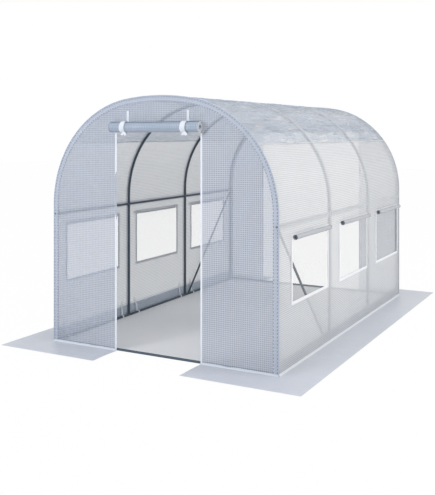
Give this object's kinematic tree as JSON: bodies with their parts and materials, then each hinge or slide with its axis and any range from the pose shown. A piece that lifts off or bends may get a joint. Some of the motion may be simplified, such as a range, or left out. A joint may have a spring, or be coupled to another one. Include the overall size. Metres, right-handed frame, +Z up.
{
  "type": "walk-in tunnel greenhouse",
  "caption": "Walk-in tunnel greenhouse: steel hoops and rails under a thread-reinforced film cover, with netted side windows and rolled-up doors.",
  "frame": {"origin": "centre of the footprint, on the ground, skirt included", "axes": "X across the tunnel, +Y from the front doorway to the back doorway, +Z up"},
  "size_m": [2.63, 3.61, 2],
  "materials": {
    "galvanised_tube": "dull galvanised steel tube",
    "roof_film": "creased translucent film with a woven thread grid",
    "side_film": "smooth translucent film with a woven thread grid",
    "rolled_film": "translucent film rolled up in many turns",
    "woven_tape": "white woven tape",
    "window_net": "fine white insect net",
    "skirt_film": "translucent film lying flat",
    "ground_sheet": "plain grey sheet"
  },
  "bodies": {
    "root": {"front_arch_legs": "galvanised_tube", "second_arch_legs": "galvanised_tube", "third_arch_legs": "galvanised_tube", "back_arch_legs": "galvanised_tube", "front_arch_hoop": "galvanised_tube", "second_arch_hoop": "galvanised_tube", "third_arch_hoop": "galvanised_tube", "back_arch_hoop": "galvanised_tube", "left_rail": "galvanised_tube", "right_rail": "galvanised_tube", "ridge_rail": "galvanised_tube", "left_base_rail": "galvanised_tube", "right_base_rail": "galvanised_tube", "front_base_rail": "galvanised_tube", "back_base_rail": "galvanised_tube", "right_front_brace": "galvanised_tube", "left_back_brace": "galvanised_tube", "roof_cover": "roof_film", "left_shoulder": "side_film", "right_shoulder": "side_film", "left_wall": "side_film", "right_wall": "side_film", "front_gable_left": "side_film", "front_gable_right": "side_film", "front_gable_top": "side_film", "back_gable_left": "side_film", "back_gable_right": "side_film", "back_gable_top": "side_film", "front_door_edging": "woven_tape", "back_door_edging": "woven_tape", "front_door_roll": "rolled_film", "back_door_roll": "rolled_film", "front_roll_straps": "woven_tape", "back_roll_straps": "woven_tape", "left_window_nets": "window_net", "right_window_nets": "window_net", "left_window_edging": "woven_tape", "right_window_edging": "woven_tape", "left_window_rolls": "rolled_film", "right_window_rolls": "rolled_film", "left_skirt": "skirt_film", "right_skirt": "skirt_film", "front_skirts": "skirt_film", "back_skirts": "skirt_film", "base_ties": "woven_tape", "ground_sheet": "ground_sheet"}
  },
  "joints": []
}
